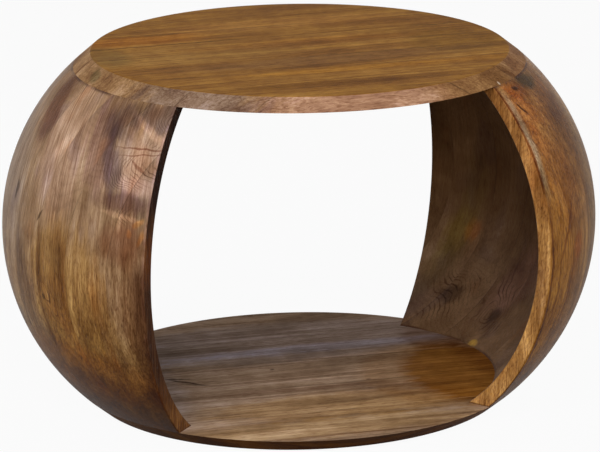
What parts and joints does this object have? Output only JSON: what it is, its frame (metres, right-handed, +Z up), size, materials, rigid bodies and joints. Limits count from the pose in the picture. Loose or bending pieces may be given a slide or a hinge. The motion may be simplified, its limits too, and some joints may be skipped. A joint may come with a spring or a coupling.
{
  "type": "drum table",
  "caption": "Low barrel-shaped coffee table of laminated solid wood with an oval top and base, bowed walls at both ends, and an open front and back.",
  "frame": {"origin": "middle of the underside, on the floor", "axes": "+X along the width from the left wall to the right wall, +Y from the open front to the open back, +Z up"},
  "size_m": [0.758, 0.511, 0.45],
  "materials": {
    "top_wood": "honey-brown wood with fine grain, satin lacquer",
    "base_wood": "mid-brown wood with fine grain, satin lacquer",
    "wall_wood": "carved brown wood with figured grain, satin lacquer",
    "dowel_wood": "pale plain wood, sanded"
  },
  "bodies": {
    "root": {"top_board_1": "top_wood", "top_board_2": "top_wood", "top_board_3": "top_wood", "top_board_4": "top_wood", "top_board_5": "top_wood", "top_board_6": "top_wood", "top_board_7": "top_wood", "top_board_8": "top_wood", "base_board_1": "base_wood", "base_board_2": "base_wood", "base_board_3": "base_wood", "base_board_4": "base_wood", "base_board_5": "base_wood", "left_wall_board_1": "wall_wood", "left_wall_board_2": "wall_wood", "left_wall_board_3": "wall_wood", "left_wall_board_4": "wall_wood", "left_wall_board_5": "wall_wood", "left_wall_board_6": "wall_wood", "left_wall_board_7": "wall_wood", "left_wall_board_8": "wall_wood", "left_wall_board_9": "wall_wood", "left_wall_board_10": "wall_wood", "right_wall_board_1": "wall_wood", "right_wall_board_2": "wall_wood", "right_wall_board_3": "wall_wood", "right_wall_board_4": "wall_wood", "right_wall_board_5": "wall_wood", "right_wall_board_6": "wall_wood", "right_wall_board_7": "wall_wood", "right_wall_board_8": "wall_wood", "right_wall_board_9": "wall_wood", "right_wall_board_10": "wall_wood", "top_left_dowels": "dowel_wood", "top_right_dowels": "dowel_wood", "base_left_dowels": "dowel_wood", "base_right_dowels": "dowel_wood"}
  },
  "joints": []
}
